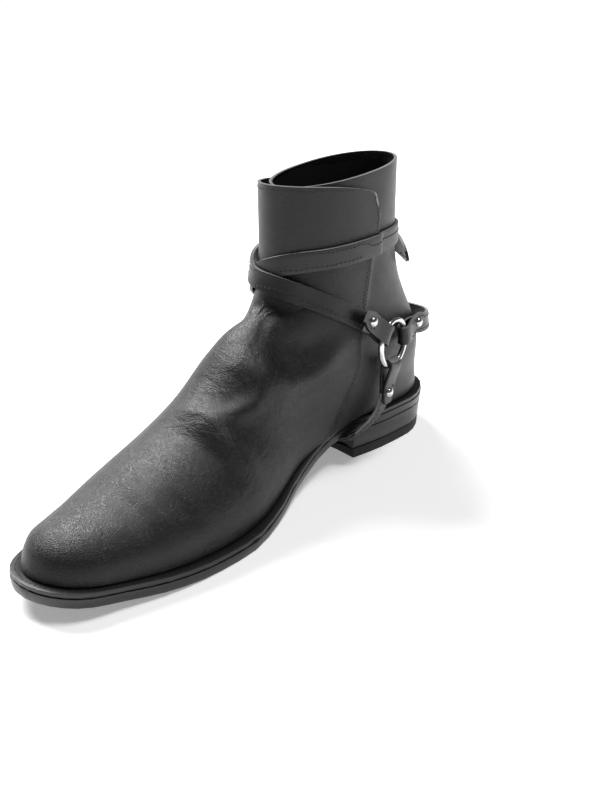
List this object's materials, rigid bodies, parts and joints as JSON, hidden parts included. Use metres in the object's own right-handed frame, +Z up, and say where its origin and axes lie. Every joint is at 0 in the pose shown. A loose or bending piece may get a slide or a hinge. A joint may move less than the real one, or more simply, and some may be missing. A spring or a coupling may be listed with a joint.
{
  "type": "jodhpur boot",
  "caption": "Right ankle boot in smooth black calf with a pointed round toe, a raised front flap, low stacked heel and a harness of crossed straps on metal rings.",
  "frame": {"origin": "on the floor under the middle of the heel", "axes": "+Z up, -Y towards the toe, +X towards the inner side of this right boot"},
  "size_m": [0.1044, 0.3032, 0.173],
  "materials": {
    "black_calf": "smooth calf with a fine grain, satin",
    "strap_leather": "smooth strap leather, satin",
    "sole_leather": "dyed and waxed leather edge",
    "heel_rubber": "matt rubber",
    "sock_leather": "matt lining leather",
    "plated_steel": "polished plated steel"
  },
  "bodies": {
    "root": {"upper": "black_calf", "front_flap": "black_calf", "cross_strap_low": "strap_leather", "cross_strap_high": "strap_leather", "heel_strap": "strap_leather", "arch_strap": "strap_leather", "strap_keeper": "strap_leather", "outsole": "sole_leather", "welt": "sole_leather", "heel_stack": "sole_leather", "heel_top_piece": "heel_rubber", "insole": "sock_leather", "buckle_frame": "plated_steel", "buckle_prong": "plated_steel", "ring_medial": "plated_steel", "rivet_front_medial": "plated_steel", "rivet_heel_medial": "plated_steel", "rivet_arch_medial": "plated_steel", "ring_lateral": "plated_steel", "rivet_front_lateral": "plated_steel", "rivet_heel_lateral": "plated_steel", "rivet_arch_lateral": "plated_steel"}
  },
  "joints": []
}
